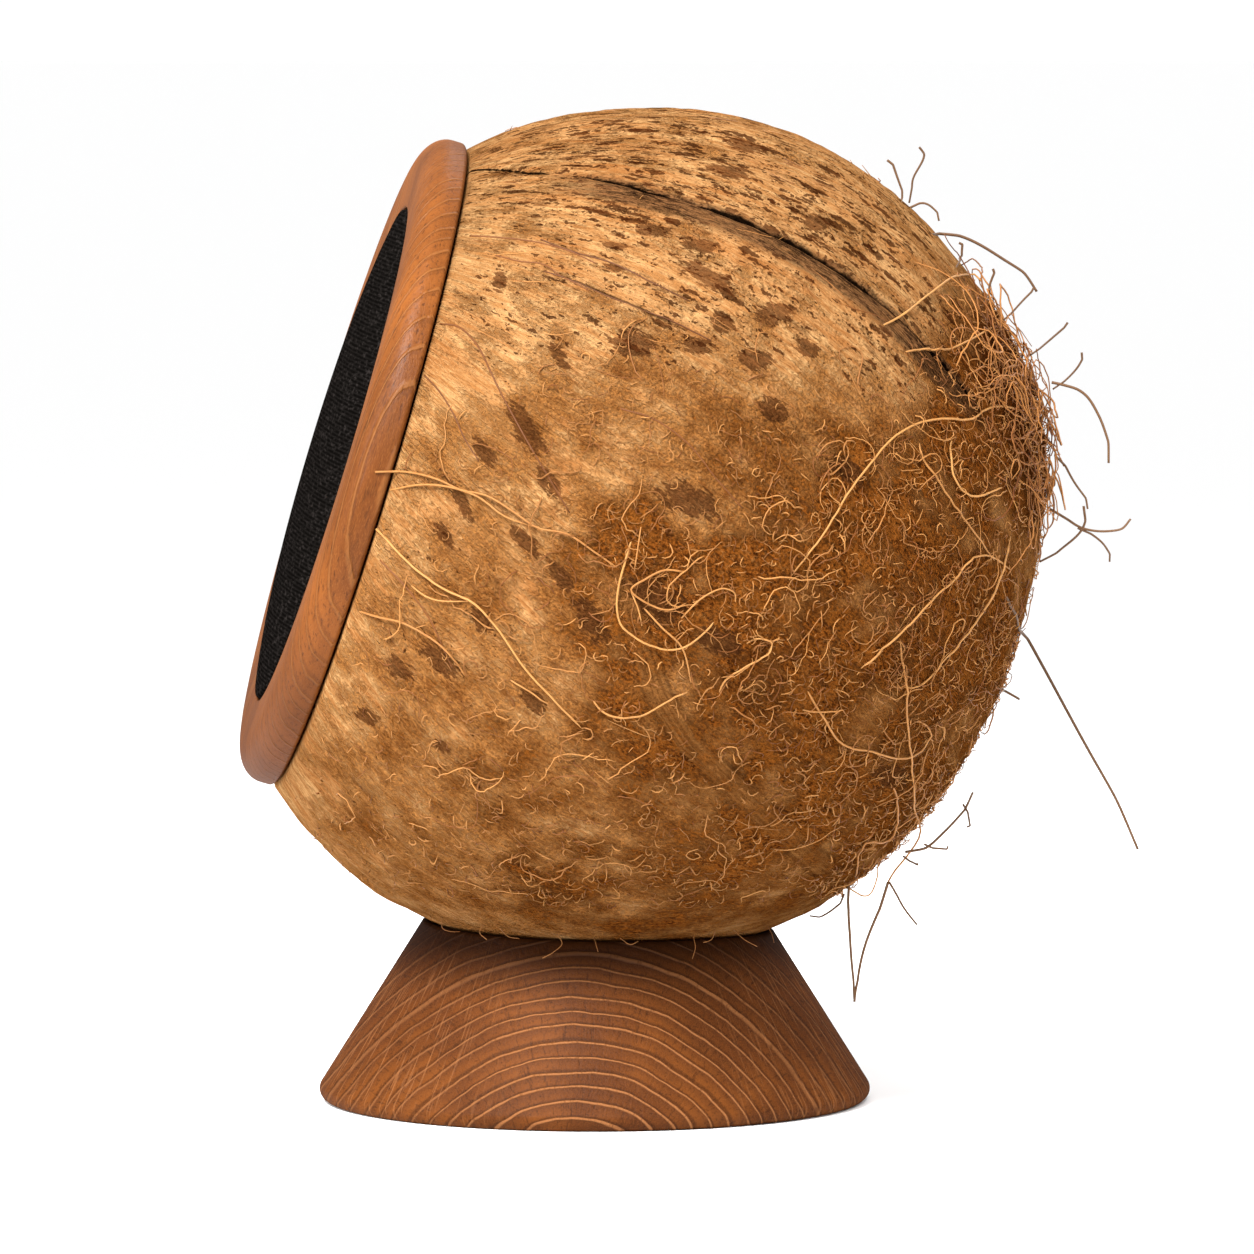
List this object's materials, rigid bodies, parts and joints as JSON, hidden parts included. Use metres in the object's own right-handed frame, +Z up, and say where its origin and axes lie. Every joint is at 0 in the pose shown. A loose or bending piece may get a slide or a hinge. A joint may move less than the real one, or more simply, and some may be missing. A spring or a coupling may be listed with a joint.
{
  "type": "coconut shell loudspeaker",
  "caption": "Hairy coconut shell with its side cut flat behind a turned wooden ring and domed fabric grille, holding a loudspeaker and resting in the dished top of a conical wooden foot.",
  "frame": {"origin": "middle of the foot's flat underside", "axes": "+Z up, -Y towards the side that the grille faces, +X towards the side seen in the picture"},
  "size_m": [0.1333, 0.1232, 0.1487],
  "materials": {
    "husk": "rough fibrous coconut husk",
    "ring_wood": "turned reddish wood, satin oil",
    "foot_wood": "turned reddish-brown wood, satin oil",
    "grille_fabric": "black woven speaker cloth",
    "black_plastic": "matte",
    "plywood": "raw plywood",
    "steel": "zinc plated",
    "ferrite": "dull grey ceramic",
    "rubber": "soft matte",
    "cone_paper": "pressed black paper",
    "spider_fabric": "resin-stiffened cloth",
    "brass_metal": "bare metal",
    "circuit_board": "solder mask",
    "cell_wrap": "shrink wrap",
    "lead_sheath": "matte sheath"
  },
  "bodies": {
    "root": {"coconut_shell": "husk", "foot": "foot_wood", "front_ring": "ring_wood", "grille_cloth": "grille_fabric", "grille_frame": "black_plastic", "baffle_board": "plywood", "driver_basket": "steel", "driver_surround": "rubber", "driver_cone": "cone_paper", "dust_cap": "cone_paper", "spider": "spider_fabric", "voice_coil": "brass_metal", "front_plate": "steel", "magnet": "ferrite", "back_plate": "steel", "terminal_strip": "brass_metal", "driver_screw_1": "steel", "driver_screw_2": "steel", "driver_screw_3": "steel", "driver_screw_4": "steel", "electronics_bracket": "steel", "bracket_screw_1": "steel", "bracket_screw_2": "steel", "battery_holder": "black_plastic", "battery_cell": "cell_wrap", "amp_board": "circuit_board", "board_standoff_1": "steel", "board_standoff_2": "steel", "board_standoff_3": "steel", "board_standoff_4": "steel", "power_inlet": "black_plastic", "driver_lead_1": "lead_sheath", "driver_lead_2": "lead_sheath", "battery_lead": "lead_sheath", "inlet_lead": "lead_sheath"}
  },
  "joints": []
}
